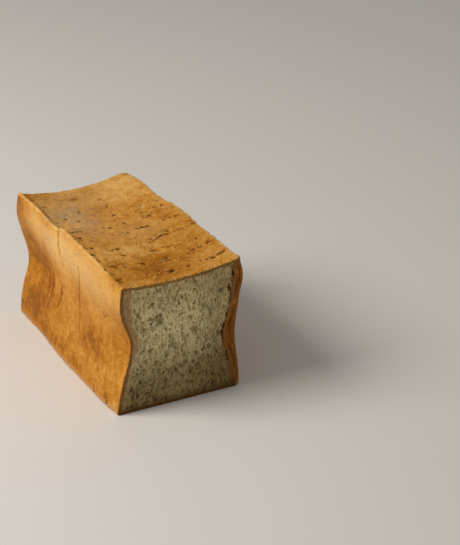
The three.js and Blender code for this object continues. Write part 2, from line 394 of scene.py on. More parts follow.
def row_pits():
    """The slits of the rows: places, lengths and depths from one seed."""
    chance = np.random.default_rng(SEED)
    pits = []
    for at_left, at_right, share, dark in PIT_ROWS:
        x = -HALF_WIDTH + 3 + chance.uniform(0, 6)
        while x < HALF_WIDTH - 3:
            length = chance.uniform(1.8, 5)
            across = (x + HALF_WIDTH) / (2 * HALF_WIDTH)
            s = at_left * (1 - across) + at_right * across + chance.normal(0, 1.3)
            depth = length * chance.uniform(0.3, 0.46)
            pits.append((x, s, length, depth, dark * chance.uniform(0.85, 1.5)))
            x += length + chance.exponential(length * (1 - share) / share)
    return pits


MARKS = {
    "left": Marks(LEFT_CREASES, LEFT_PITS),
    "right": Marks(RIGHT_CREASES),
    "top": Marks(TOP_CREASES, TOP_PITS + row_pits()),
    "end": Marks(END_CREASES),
    "cut": Marks(CRUST_GAPS),
}


def tone_of(tones, a, b):
    """The sum of broad patches of tone at places (a, b)."""
    total = np.zeros_like(a)
    for (at_a, at_b), (spread_a, spread_b), strength in tones:
        total += strength * bell(a - at_a, spread_a) * bell(b - at_b, spread_b)
    return total


def around_curl(s):
    """How far places on the right wall are from the cut, in even steps round its curl and then along it."""
    turned = np.arccos(1 - np.clip(s / CURL_REACH, 0, 1)) * 2 / math.pi
    return np.where(s < CURL_REACH, CURL_REACH * turned, s)


def faces_of(place):
    """Which face of the plain box each place is on: for each face's name, (is on it, a, b)."""
    x, s, z = place.T
    return {
        "left": (x < -HALF_WIDTH + EDGE_RADIUS, s, z),
        "right": (x > HALF_WIDTH - EDGE_RADIUS, around_curl(s), z),
        "top": (z > HEIGHT - EDGE_RADIUS, x, s),
        "end": (s > LENGTH - EDGE_RADIUS, x, z),
        "cut": (s < ON_FACE, x, z),
    }


# == The loaf's mesh ==


EDGE_TURNS = [EDGE_RADIUS * math.tan(math.radians(angle)) for angle in (15, 30, 45)]  # round an edge


def stations_between(low, high, step):
    """Even stations between two rounded edges, with three more round each edge."""
    count = round((high - low - 2 * EDGE_RADIUS) / step)
    straight = np.linspace(low + EDGE_RADIUS, high - EDGE_RADIUS, count + 1)
    before = [low + EDGE_RADIUS - turn for turn in reversed(EDGE_TURNS)]
    after = [high - EDGE_RADIUS + turn for turn in EDGE_TURNS]
    return np.concatenate([before, straight, after])


def box_grid(xs, ss, zs):
    """A closed box of quads with a vertex at every station: its places and its faces."""
    numbers, places, faces = {}, [], []

    def vertex(i, j, k):
        if (i, j, k) not in numbers:
            numbers[i, j, k] = len(places)
            places.append((xs[i], ss[j], zs[k]))
        return numbers[i, j, k]

    def quad(*corners):
        faces.append([vertex(*corner) for corner in corners])

    last_i, last_j, last_k = len(xs) - 1, len(ss) - 1, len(zs) - 1
    for i in range(last_i):
        for k in range(last_k):
            for j in (0, last_j):
                quad((i, j, k), (i + 1, j, k), (i + 1, j, k + 1), (i, j, k + 1))
    for i in range(last_i):
        for j in range(last_j):
            for k in (0, last_k):
                quad((i, j, k), (i + 1, j, k), (i + 1, j + 1, k), (i, j + 1, k))
    for j in range(last_j):
        for k in range(last_k):
            for i in (0, last_i):
                quad((i, j, k), (i, j + 1, k), (i, j + 1, k + 1), (i, j, k + 1))
    return places, faces


def refine(bm, wanted):
    """Halves the faces for which wanted, given the faces' middles, is true."""
    middles = np.array([face.calc_center_median() for face in bm.faces])
    chosen = wanted(middles)
    edges = {edge for face, pick in zip(bm.faces, chosen) if pick for edge in face.edges}
    bmesh.ops.subdivide_edges(bm, edges=list(edges), cuts=1, use_grid_fill=True, use_single_edge=True)


def near_marks(reach):
    """A test for places within reach of a crease or a pit on their own face."""

    def test(place):
        near = np.zeros(len(place), bool)
        for name, (on_face, a, b) in faces_of(place).items():
            near |= on_face & (MARKS[name].reach(a, b) < reach)
        return near

    return test


def loaf_mesh():
    """The plain box, finer where it has detail."""
    along = np.arange(CUT_STATIONS[-1] + CRUST_STEP, LENGTH - EDGE_RADIUS - CRUST_STEP / 2, CRUST_STEP)
    far = [LENGTH - EDGE_RADIUS + turn for turn in (0.0, *EDGE_TURNS)]
    ss = np.concatenate([CUT_STATIONS, along, far])
    xs = stations_between(-HALF_WIDTH, HALF_WIDTH, CRUST_STEP)
    places, faces = box_grid(xs, ss, stations_between(0, HEIGHT, CRUST_STEP))
    mesh = bpy.data.meshes.new("tin_loaf")
    mesh.from_pydata(places, [], faces)
    bm = bmesh.new()
    bm.from_mesh(mesh)
    bmesh.ops.recalc_face_normals(bm, faces=bm.faces)
    refine(bm, lambda place: place[:, 1] < ON_FACE)
    refine(bm, near_marks(MARK_REACH))
    refine(bm, near_marks(MARK_REACH / 3))
    bm.to_mesh(mesh)
    bm.free()
    return mesh


def read_vectors(items, name):
    """A mesh array of vectors as rows of numbers."""
    values = np.empty(len(items) * 3)
    items.foreach_get(name, values)
    return values.reshape(-1, 3)


def store(mesh, name, values, kind="FLOAT", domain="POINT"):
    """Keeps values on the mesh under a name that its materials and node trees read."""
    field = "vector" if kind == "FLOAT_VECTOR" else "value"
    mesh.attributes.new(name, kind, domain).data.foreach_set(field, np.ascontiguousarray(values).ravel())


def crumb_hole_depth(x, z):
    """How deep the crumb's placed holes are, with soft, uneven borders."""
    depth = np.zeros_like(x)
    for at_x, at_z, width, height, deep in CRUMB_HOLES:
        away = np.hypot((x - at_x) / (width / 2), (z - at_z) / (height / 2))
        away *= 1 + 0.25 * wobble(x - at_x, z - at_z, 1.3)
        depth = np.maximum(depth, deep * (1 - ease(away, 0.45, 1.15)))
    return depth


def shape_loaf(mesh, settings):
    """Sinks the plain box into the loaf, presses its marks in, and stores what its materials read."""
    place = read_vectors(mesh.vertices, "co")
    x, s, z = place.T
    smooth = sink(round_edges(place))
    mesh.vertices.foreach_set("co", smooth.ravel())
    mesh.update()
    normal = read_vectors(mesh.vertices, "normal")

    depth, dark = np.zeros(len(place)), np.zeros(len(place))
    for name, (on_face, a, b) in faces_of(place).items():
        deep, shade_share = MARKS[name].read(a, b)
        depth = np.where(on_face, np.maximum(depth, deep), depth)
        dark = np.where(on_face, np.maximum(dark, shade_share), dark)
    within = np.minimum(HALF_WIDTH - np.abs(x), np.minimum(z, HEIGHT - z))
    on_cut = (s < ON_FACE) & (within > CUT_MARGIN)
    holes = np.where(on_cut, crumb_hole_depth(smooth[:, 0], smooth[:, 2]), 0)

    # The top's left edge stands up as a thin lip, with a groove beside it that bake_tones paints darker:
    # partly painted shade of the lip, partly a browner bake.
    lip_along = ease(s, 12, 30) * (0.7 + 0.3 * wobble(s, z, 7) + 0.3 * wobble(s, z, 2.3))
    lip = settings.lip_height / MM * lip_along * bell(x + HALF_WIDTH - LIP_FROM_EDGE, LIP_WIDTH)
    groove = GROOVE_DEPTH * lip_along * bell(x + HALF_WIDTH - GROOVE_FROM_EDGE, GROOVE_WIDTH)
    depth += np.where(z > HEIGHT - ON_FACE, groove - lip, 0)
    resting = ease(z, 0.2, 3)
    moved = smooth - normal * ((depth * resting + holes)[:, None])
    moved[:, 2] = np.maximum(moved[:, 2], 0)

    middle = (smooth[:, 0].max() + smooth[:, 0].min()) / 2
    origin = np.array([middle, -LOAF_LOW.y / MM, 0])
    mesh.vertices.foreach_set("co", ((moved - origin) * MM).ravel())
    mesh.update()

    # The baked tone also carries the painted shade beside the lip and the painted highlights on the top's
    # edges.
    baked, dust = bake_tones(place, lip_along)
    store(mesh, "box_place", place, "FLOAT_VECTOR")
    store(mesh, "baked", baked)
    store(mesh, "dust", dust)
    store(mesh, "mark", dark)
    store(mesh, "hole", holes / DEEPEST_HOLE)
    store(mesh, "crumbly", crumbly_at(place))
    cut_faces = np.array([all(s[v] < ON_FACE for v in polygon.vertices) for polygon in mesh.polygons])
    store(mesh, "cut_face", cut_faces, "BOOLEAN", "FACE")
    return mesh


def bake_tones(place, lip_along):
    """How dark the crust has baked, with painted lip shade and edge highlights, and how dusty it is, from 0 to
    1.
    """
    x, s, z = place.T
    left, right = x < -HALF_WIDTH + 0.5, x > HALF_WIDTH - 0.5
    top, base = z > HEIGHT - 0.5, z < 0.5
    baked = np.full(len(place), 0.45)
    baked = np.where(left, 0.52 + tone_of(LEFT_TONES, s, z), baked)
    baked = np.where(right, 0.48 + 0.8 * tone_of(LEFT_TONES, s * 0.9 + 12, z), baked)
    baked = np.where(top, 0.47 + tone_of(TOP_TONES, x, s), baked)
    baked = np.where(base, 0.62, baked)
    # Painted shade of the lip in the groove beside it, partly a browner bake.
    groove_shade = (0.14 + 0.22 * ease(s, 110, 170)) * lip_along * bell(x + HALF_WIDTH - 6, 2.2)
    # Painted highlights along the top's left and right edges, broken along their length.
    highlight_breaks = 0.8 + 0.6 * wobble(s, z, 3.1)
    edge_highlight = (0.30 * bell(x + HALF_WIDTH - 1.4, 2.0) + 0.30 * bell(HALF_WIDTH - x - 0.8, 1.6)) * highlight_breaks
    baked += np.where(top, groove_shade - edge_highlight, 0)
    curled = (1 - ease(around_curl(s), 1.6, 6.5)) * (1 + 0.25 * wobble(2 * around_curl(s), z, 2.2))
    baked += np.where(right, 0.62 * curled, 0)
    # Dust, with a painted highlight along the top's right edge.
    dust = np.where(top, tone_of(DUSTY_TOP, x, s) + 0.8 * bell(HALF_WIDTH - x - 0.6, 1.5), 0)
    dust = np.where(left, tone_of(DUSTY_LEFT, s, z), dust)
    foot = (left | right | (s > LENGTH - 0.5)) * (1 - ease(z, 0.8, 7))
    dust = np.maximum(dust, 0.7 * foot)
    return np.clip(baked, 0, 1), np.clip(dust, 0, 1)


def crumbly_at(place):
    """How many loose crumbs cling at each place: most along the top of the cut, and some round the foot."""
    x, s, z = place.T
    on_top = z > HEIGHT - 0.5
    by_cut = np.where(on_top, bell(s - 1, 2.6) + 0.12 * bell(s - 1, 14) + 0.01, 0)
    curl = 0.04 * (x > HALF_WIDTH - 0.5) * bell(s - 0.6, 1)
    foot = 0.1 * bell(z - 2.6, 1) * (s > 0.1) * (z > 1.6)
    return np.maximum(np.maximum(by_cut, curl), foot)


# == Node trees ==


def both_ways(operation):
    """A Python operator that adds a Math node, and its reflected form."""

    def forward(first, second):
        return first.math(operation, first, second)

    def reflected(second, first):
        return second.math(operation, first, second)

    return forward, reflected


class Socket:
    """A node's output, which Python expressions add, subtract, multiply and divide."""

    __add__, __radd__ = both_ways("ADD")
    __sub__, __rsub__ = both_ways("SUBTRACT")
    __mul__, __rmul__ = both_ways("MULTIPLY")
    __truediv__, __rtruediv__ = both_ways("DIVIDE")

    def __init__(self, tree, socket):
        self.tree = tree
        self.socket = socket

    def math(self, operation, a, b):
        return self.tree.node("ShaderNodeMath", {"operation": operation}, {0: a, 1: b})

    def at_least(self, other):
        return self.math("MAXIMUM", self, other)

    def at_most(self, other):
        return self.math("MINIMUM", self, other)

    def magnitude(self):
        return self.math("ABSOLUTE", self, 0.0)

    def eased(self, start, end):
        """0 before start, 1 after end and smooth between; falling when start is the greater."""
        settings = {"interpolation_type": "SMOOTHSTEP"}
        if start < end:
            return self.tree.node("ShaderNodeMapRange", settings, {0: self, 1: start, 2: end, 3: 0.0, 4: 1.0})
        return self.tree.node("ShaderNodeMapRange", settings, {0: self, 1: end, 2: start, 3: 1.0, 4: 0.0})


class Tree:
    """A node tree, with one method that adds any node and a few that name common ones."""

    def __init__(self, tree):
        self.tree = tree

    def node(self, kind, settings=None, inputs=None, output=0):
        """Adds a node: its settings first, then its sockets' values or links. Gives one output back."""
        made = self.tree.nodes.new(kind)
        for name, value in (settings or {}).items():
            if name == "stops":
                self.set_stops(made.color_ramp, value)
            else:
                setattr(made, name, value)
        for key, value in (inputs or {}).items():
            if isinstance(value, Socket):
                self.tree.links.new(value.socket, made.inputs[key])
            else:
                made.inputs[key].default_value = value
        return Socket(self, made.outputs[output]) if len(made.outputs) else made

    @staticmethod
    def set_stops(ramp, stops):
        """Gives a colour ramp its (place, colour) stops."""
        while len(ramp.elements) < len(stops):
            ramp.elements.new(0.5)
        for element, (place, colour) in zip(ramp.elements, stops):
            element.position = place
            element.color = (*colour, 1)

    def attribute(self, name, vector=False):
        """A shader's reading of a named attribute of the mesh."""
        return self.node("ShaderNodeAttribute", {"attribute_name": name}, output=1 if vector else 2)

    def object_place(self):
        """A shader's place in the object's own coordinates."""
        return self.node("ShaderNodeTexCoord", output=3)

    def split(self, vector):
        """A vector's three numbers."""
        made = self.node("ShaderNodeSeparateXYZ", inputs={0: vector})
        return [Socket(self, output) for output in made.socket.node.outputs]

    def vectors(self, operation, first, second):
        """Vector maths on a vector and another, or on a vector and a number to scale it by."""
        key = "Scale" if operation == "SCALE" else 1
        return self.node("ShaderNodeVectorMath", {"operation": operation}, {0: first, key: second})

    def stretch(self, vector, factors):
        """A vector times another, number by number."""
        return self.vectors("MULTIPLY", vector, factors)

    def noise(self, vector, scale, detail=3.0, roughness=0.55, output=0):
        """Soft noise with its features about one over scale apart."""
        values = {"Vector": vector, "Scale": scale, "Detail": detail, "Roughness": roughness}
        return self.node("ShaderNodeTexNoise", {}, values, output)

    def spots(self, vector, scale):
        """Distance from the nearest of many scattered points, about one over scale apart."""
        return self.node("ShaderNodeTexVoronoi", {}, {"Vector": vector, "Scale": scale, "Randomness": 1.0})

    def ramp(self, value, *stops):
        """A colour that runs through (place, colour) stops."""
        return self.node("ShaderNodeValToRGB", {"stops": stops}, {0: value})

    def blend(self, share, first, second, way="MIX"):
        """A colour between two, or the second laid on the first in the way named."""
        first, second = (given if isinstance(given, Socket) else (*given, 1.0) for given in (first, second))
        settings = {"data_type": "RGBA", "blend_type": way}
        return self.node("ShaderNodeMix", settings, {0: share, 6: first, 7: second}, output=2)

    def bump(self, strength, distance, height):
        """A normal tipped as if the surface rose by height."""
        return self.node("ShaderNodeBump", {}, {"Strength": strength, "Distance": distance, "Height": height})


def new_material(name):
    """An empty material: its tree, its surface shader and the shader's node."""
    material = bpy.data.materials.new(name)
    material.use_nodes = True
    material.node_tree.nodes.clear()
    tree = Tree(material.node_tree)
    shader = tree.node("ShaderNodeBsdfPrincipled")
    tree.node("ShaderNodeOutputMaterial", inputs={0: shader})
    return material, tree, shader.socket.node


def connect(tree, shader, **sockets):
    """Links or sets the surface shader's sockets, with _ for each space in a name."""
    for name, value in sockets.items():
        target = shader.inputs[name.replace("_", " ")]
        if isinstance(value, Socket):
            tree.tree.links.new(value.socket, target)
        else:
            target.default_value = value


# == Materials ==


def crust_material(settings):
    """Baked crust: tone by place, mottled and freckled, with painted shade in its creases and pits, and dusty
    at its foot.
    """
    material, tree, shader = new_material("baked_crust")
    place = tree.object_place()
    cloudy = tree.noise(place, 34, 4.0, 0.6)
    mottled = tree.noise(place, 150, 4.0, 0.62)
    grainy = tree.noise(place, 620, 3.0, 0.6)
    streaks = tree.noise(tree.stretch(place, (0.25, 1.0, 1.0)), 330, 3.0, 0.5)
    mark = tree.attribute("mark")
    dust = tree.attribute("dust")

    _, s, z = tree.split(tree.attribute("box_place", vector=True))
    on_top = z.eased(HEIGHT - 1.5, HEIGHT - 0.5)
    rougher = (on_top * 0.6).at_least(z.eased(78.0, 36.0) * 0.4)
    tone = (cloudy - 0.5) * 0.8 + (mottled - 0.5) * (0.55 + 0.75 * rougher) + (grainy - 0.5) * 0.55
    # The baked attribute carries painted shade beside the lip and painted highlights on the top's edges.
    tone = tree.attribute("baked") + tone + (streaks - 0.5) * 0.25
    lightly, darkly = (0.12, settings.pale_crust), (1.0, settings.brown_crust)
    colour = tree.ramp(tone, lightly, (0.5, settings.golden_crust), (0.76, settings.orange_crust), darkly)

    freckle = tree.spots(place, 210.0)
    pick = tree.noise(place, 70, 2.0).eased(0.52, 0.62)
    freckled = freckle.eased(0.26, 0.12) * pick * 0.6
    colour = tree.blend(freckled, colour, settings.brown_crust)
    scratches = tree.noise(tree.stretch(place, (0.3, 1.0, 1.0)), 520, 3.0, 0.6)
    scored = scratches.eased(0.58, 0.7) * on_top * cloudy.eased(0.42, 0.6)
    colour = tree.blend(scored * 0.3, colour, settings.brown_crust)
    fleck = tree.spots(place, 300.0)
    by_cut = s.eased(9.0, 1.0) * streaks.eased(0.4, 0.6)
    gathered = tree.noise(place, 110, 3.0).eased(0.48, 0.6).at_least(by_cut)
    flecked = (fleck + (grainy - 0.5) * 0.5).eased(0.36, 0.2) * gathered * on_top
    colour = tree.blend(flecked * 0.75, colour, settings.pale_crust)

    powder = dust * (cloudy * 0.5 + mottled * 0.9).eased(0.45, 0.85)
    colour = tree.blend((powder * 0.75).at_most(1.0), colour, settings.dusty_crust)
    # Painted shade in the creases, pits and slits.
    shade_share = mark.eased(0.18, 0.85)
    colour = tree.blend(shade_share * 0.92, colour, settings.burnt_crust)

    height = mottled * 0.5 + grainy * 0.4 + streaks * 0.2 - freckled * 0.3 - scored * 0.4 + flecked * 0.4
    bump = tree.bump(0.65, 1.5 * MM, height)
    rough = 0.56 + (mottled - 0.5) * 0.25 + dust * 0.2 + mark * 0.2
    connect(tree, shader, Base_Color=colour, Roughness=rough, Normal=bump, IOR=1.42, Specular_IOR_Level=0.12)
    return material


def crumb_material(settings):
    """Open crumb: cream cell walls round darker pores, a dense layer by the crust, and the crust's edge."""
    material, tree, shader = new_material("open_crumb")
    place = tree.object_place()
    x, _, z = tree.split(tree.attribute("box_place", vector=True))
    pore = tree.attribute("pore")
    blotch = tree.noise(place, 110, 4.0, 0.65) - 0.5
    from_left, from_right = x + HALF_WIDTH + blotch * 4, HALF_WIDTH - x + blotch * 5
    from_top, from_base = HEIGHT - z + blotch * 6, z + blotch * 5

    leaning = x + z * (x / HALF_WIDTH).eased(0.2, 0.9) * 0.6
    leaning = tree.node("ShaderNodeCombineXYZ", inputs={0: leaning, 1: 0.0, 2: z})
    wall = []
    for tall, fine in THREADS:
        thread = tree.noise(tree.stretch(leaning, (MM, 0.0, MM * tall)), fine, 2.0, 0.6)
        wall.append(1 - ((thread - 0.5) * 9).magnitude())
    walls = wall[0].at_least(wall[1] * 0.8).at_least(0.0)
    cells = tree.noise(tree.stretch(place, (1.0, 1.0, 0.55)), 560, 3.0, 0.62)
    broad = tree.noise(place, 60, 3.0)
    light = (cells - 0.5) * 1.5 + walls * 0.95 + (broad - 0.5) * 0.8 + 0.17
    shaded, bright = (0.1, settings.shaded_crumb), (0.95, settings.bright_crumb)
    colour = tree.ramp(light, shaded, (0.5, settings.crumb), bright)
    colour = tree.blend(pore * 0.8, colour, settings.pore_shade)
    # Painted shade: the crumb darkens towards its base, and a little more at its bottom left.
    base_shade = z.eased(76.0, 18.0) * 0.95 + z.eased(30.0, 4.0) * x.eased(-20.0, -48.0) * 0.05
    colour = tree.blend(base_shade, colour, settings.moist_crumb, "MULTIPLY")
    dim = (x.eased(14.0, 46.0) * 0.6).at_least(z.eased(84.0, 116.0) * 0.5)
    colour = tree.blend(dim, colour, settings.dim_crumb, "MULTIPLY")
    band = 4.4 + 5.6 * z.eased(44.0, 72.0)
    dense = (from_left / band).eased(1.35, 0.7).at_least(from_base.eased(6.0, 2.0) * 0.6)
    colour = tree.blend(dense * (cells * 1.5), colour, settings.dense_crumb)

    under_crust = from_left.eased(4.8, 1.9).at_least((from_top + (cells - 0.5) * 5).eased(4.4, 1.8))
    under_crust = under_crust.at_least(from_base.eased(4.2, 1.4)).at_least(from_right.eased(8.0, 2.5))
    colour = tree.blend(under_crust * 0.9, colour, settings.cut_crust)
    rim = (x + HALF_WIDTH + blotch * 1.5).eased(1.5, 0.7).at_least(from_top.eased(1.6, 0.5))
    colour = tree.blend(rim * 0.85 * cells.eased(0.3, 0.6), colour, settings.golden_crust)
    # Painted shade along the bottom of the cut face.
    colour = tree.blend(z.eased(12.0, 1.0) * 0.7, colour, settings.moist_crumb, "MULTIPLY")
    # Painted shade in the gaps where the crust has come away from the crumb.
    colour = tree.blend(tree.attribute("mark").eased(0.1, 0.9) * 0.8, colour, settings.burnt_crust)

    bump = tree.bump(0.8, 1.2 * MM, cells * 0.6 + walls * 0.5 - pore * 0.3)
    connect(tree, shader, Base_Color=colour, Roughness=0.92, Normal=bump, IOR=1.4, Specular_IOR_Level=0.2)
    return material


def loose_crumb_material(settings):
    """Loose crumbs: each a little of the golden crust or of the pale crumb."""
    material, tree, shader = new_material("loose_crumb")
    place = tree.object_place()
    kind = tree.noise(place, 260, 2.0)
    grain = tree.noise(place, 1400, 3.0)
    crusty, crumby = (0.42, settings.golden_crust), (0.78, settings.crumb)
    colour = tree.ramp(kind, crusty, (0.6, settings.pale_crust), crumby)
    colour = tree.blend(grain.eased(0.55, 0.35) * 0.4, colour, settings.brown_crust)
    bump = tree.bump(0.7, 0.6 * MM, grain)
    connect(tree, shader, Base_Color=colour, Roughness=0.9, Normal=bump, Specular_IOR_Level=0.12)
    return material


def floor_material(settings):
    """A matt, pale floor, very slightly uneven in tone."""
    material, tree, shader = new_material("studio_floor")
    place = tree.object_place()
    colour = tree.blend(tree.noise(place, 3, 2.0) * 0.04, settings.floor_colour, settings.floor_shade)
    connect(tree, shader, Base_Color=colour, Roughness=0.85)
    return material


# == Geometry node trees ==


def new_geometry_tree(name, numbers):
    """A geometry tree with a mesh in, a mesh out and named numbers in. Gives the tree and its inputs."""
    group = bpy.data.node_groups.new(name, "GeometryNodeTree")
    group.interface.new_socket("Geometry", in_out="INPUT", socket_type="NodeSocketGeometry")
    group.interface.new_socket("Geometry", in_out="OUTPUT", socket_type="NodeSocketGeometry")
    for label, value in numbers.items():
        kind = "NodeSocketInt" if isinstance(value, int) else "NodeSocketFloat"
        group.interface.new_socket(label, in_out="INPUT", socket_type=kind).default_value = value
    tree = Tree(group)
    source = tree.node("NodeGroupInput").socket.node
    return tree, {socket.name: Socket(tree, socket) for socket in source.outputs if socket.name}


def end_tree(tree, geometry, steps):
    """Realizes the instances, lays each (material, selection) on and ends the tree."""
    geometry = tree.node("GeometryNodeRealizeInstances", inputs={"Geometry": geometry})
    for material, selection in steps:
        inputs = {"Geometry": geometry, "Material": material}
        if selection is not None:
            inputs["Selection"] = selection
        geometry = tree.node("GeometryNodeSetMaterial", inputs=inputs)
    tree.node("NodeGroupOutput", inputs={0: geometry})


def named(tree, name, kind="FLOAT"):
    """A geometry tree's reading of a named attribute."""
    return tree.node("GeometryNodeInputNamedAttribute", {"data_type": kind}, {"Name": name})


def pore_depth(tree, place, size, shear, shut=0.15):
    """How open the crumb is at a place: up to 1 inside a cell of the foam, and 0 on the walls round it."""
    x, _, z = tree.split(place)
    leaning = tree.node("ShaderNodeCombineXYZ", inputs={0: x + z * shear, 1: 0.0, 2: z * 0.6})
    wander = tree.stretch(tree.noise(place, 330.0, 2.0, output=1), (0.0022, 0.0, 0.0022))
    values = {"Vector": tree.vectors("ADD", leaning, wander), "Scale": 1.0 / size, "Randomness": 1.0}
    wall = tree.node("ShaderNodeTexVoronoi", {"feature": "DISTANCE_TO_EDGE"}, values)
    cell = tree.node("ShaderNodeTexVoronoi", {}, values, output=1)
    chance, _, _ = tree.split(cell)
    return wall.eased(0.02, 0.3) * chance.eased(shut, 1.0)


def relief_tree(crust, crumb):
    """Opens the crumb's pores and gives the crust its uneven skin."""
    sizes = {
        "Pore Size": PORE_SIZE, "Pore Depth": PORE_DEPTH, "Skin Height": SKIN_HEIGHT, "Edge Wear": EDGE_WEAR,
    }
    tree, given = new_geometry_tree("loaf_relief", sizes)
    place = tree.node("GeometryNodeInputPosition")
    x, s, z = tree.split(named(tree, "box_place", "FLOAT_VECTOR"))
    edge = (x + HALF_WIDTH).at_most(HALF_WIDTH - x).at_most(HEIGHT - z).at_most(z)
    on_cut = s.eased(0.02, 0.01) * edge.eased(0.1, 0.5)
    open_crumb = on_cut * edge.eased(0.8, 3.0) * (0.15 + 0.85 * (x + HALF_WIDTH).eased(4.5, 13.0))

    shear = (x / HALF_WIDTH).eased(0.2, 0.9) * 0.6
    fine = pore_depth(tree, place, given["Pore Size"] * 0.55, shear, -0.5) * 0.6
    coarse = pore_depth(tree, place, given["Pore Size"], shear, 0.25)
    wide = pore_depth(tree, place, given["Pore Size"] * 1.8, shear, 0.6) * 0.6
    pores = coarse.at_least(fine).at_least(wide) * open_crumb
    opened = {"Geometry": given["Geometry"], "Name": "pore", "Value": pores.at_least(named(tree, "hole"))}
    on_points = {"data_type": "FLOAT", "domain": "POINT"}
    geometry = tree.node("GeometryNodeStoreNamedAttribute", on_points, opened)
    broad = (tree.noise(place, 32.0, 2.0) - 0.5) * 2.2
    on_top = z.eased(HEIGHT - 2.5, HEIGHT)
    wrinkled = tree.noise(tree.stretch(place, (0.8, 1.0, 0.7)), 150.0, 3.0)
    wrinkled = (wrinkled - 0.5) * (1.3 + on_top * 2.2)
    grain = (tree.noise(place, 480.0, 2.0) - 0.5) * 1.1
    skin = (broad + wrinkled + grain) * given["Skin Height"] * (1 - on_cut) * z.eased(0.3, 4.0)
    beside = (HALF_WIDTH - x.magnitude()).at_least(HEIGHT - z)
    edges = z.eased(4.5, 1.5).at_least(beside.eased(4.0, 1.0)).at_least(s.eased(2.4, 0.4))
    edges = edges * (1 - on_cut)
    ragged = (tree.noise(place, 190.0, 4.0, 0.62) - 0.5) * given["Edge Wear"] * edges * z.eased(0.2, 0.9)
    cell_walls = (tree.noise(place, 650.0, 2.0) - 0.5) * 0.5 * MM * open_crumb
    rise = skin + ragged + cell_walls - pores * given["Pore Depth"]
    offset = tree.vectors("SCALE", tree.node("GeometryNodeInputNormal"), rise)
    geometry = tree.node("GeometryNodeSetPosition", inputs={"Geometry": geometry, "Offset": offset})
    geometry = tree.node("GeometryNodeSetShadeSmooth", inputs={"Geometry": geometry, "Shade Smooth": True})
    cut_face = named(tree, "cut_face", "BOOLEAN")
    end_tree(tree, geometry, [(crust, None), (crumb, cut_face)])
    return tree.tree


def crumbs_tree(material):
    """Scatters small lumps over the loaf where its crumbly attribute says, and keeps only the lumps."""
    numbers = {"Crumb Size": CRUMB_SIZE, "Crumb Count": CRUMB_COUNT, "Seed": SEED}
    tree, given = new_geometry_tree("loose_crumbs", numbers)
    density = named(tree, "crumbly") * given["Crumb Count"]
    spread = {"Mesh": given["Geometry"], "Density": density, "Seed": given["Seed"]}
    points = tree.node("GeometryNodeDistributePointsOnFaces", {"distribute_method": "RANDOM"}, spread)
    ball = {"Segments": 8, "Rings": 5, "Radius": given["Crumb Size"]}
    lump = tree.node("GeometryNodeMeshUVSphere", inputs=ball)
    uneven = tree.noise(tree.node("GeometryNodeInputPosition"), 1500.0, 2.0, output=1)
    uneven = tree.vectors("SUBTRACT", uneven, (0.5, 0.5, 0.5))
    offset = tree.vectors("SCALE", uneven, given["Crumb Size"] * 1.6)
    lump = tree.node("GeometryNodeSetPosition", inputs={"Geometry": lump, "Offset": offset})
    vector = {"data_type": "FLOAT_VECTOR"}
    turns = {0: (0, 0, 0), 1: (6.3, 6.3, 6.3), "Seed": given["Seed"]}
    turn = tree.node("FunctionNodeRandomValue", vector, turns)
    scales = {0: (0.5, 0.4, 0.4), 1: (1.5, 1.2, 0.9), "Seed": 1}
    scale = tree.node("FunctionNodeRandomValue", vector, scales)
    lumps = {"Points": points, "Instance": lump, "Rotation": turn, "Scale": scale}
    end_tree(tree, tree.node("GeometryNodeInstanceOnPoints", inputs=lumps), [(material, None)])
    return tree.tree


def apply_tree(mesh_object, group, settings):
    """Runs a geometry tree with the settings of its inputs' names, and keeps the result as a plain mesh."""
    modifier = mesh_object.modifiers.new(group.name, "NODES")
    modifier.node_group = group
    for item in group.interface.items_tree:
        key = item.name.replace(" ", "_").lower()
        if item.in_out == "INPUT" and hasattr(settings, key):
            modifier[item.identifier] = getattr(settings, key)
    graph = bpy.context.evaluated_depsgraph_get()
    shaped = bpy.data.meshes.new_from_object(
        mesh_object.evaluated_get(graph), preserve_all_data_layers=True, depsgraph=graph
    )
    mesh_object.modifiers.remove(modifier)
    mesh_object.data = shaped
    shaped.name = mesh_object.name
    return mesh_object


def link(name, mesh):
    """A new object in the scene for a mesh or a light, at the origin."""
    made = bpy.data.objects.new(name, mesh)
    bpy.context.scene.collection.objects.link(made)
    return made


# == Properties ==


def colour_property(label, words, value):
    """A colour that a user may change."""
    return FloatVectorProperty(name=label, description=words, default=value, subtype="COLOR", min=0, max=1)


def length_property(label, words, value):
    """A length that a user may change."""
    return FloatProperty(name=label, description=words, unit="LENGTH", subtype="DISTANCE", default=value)


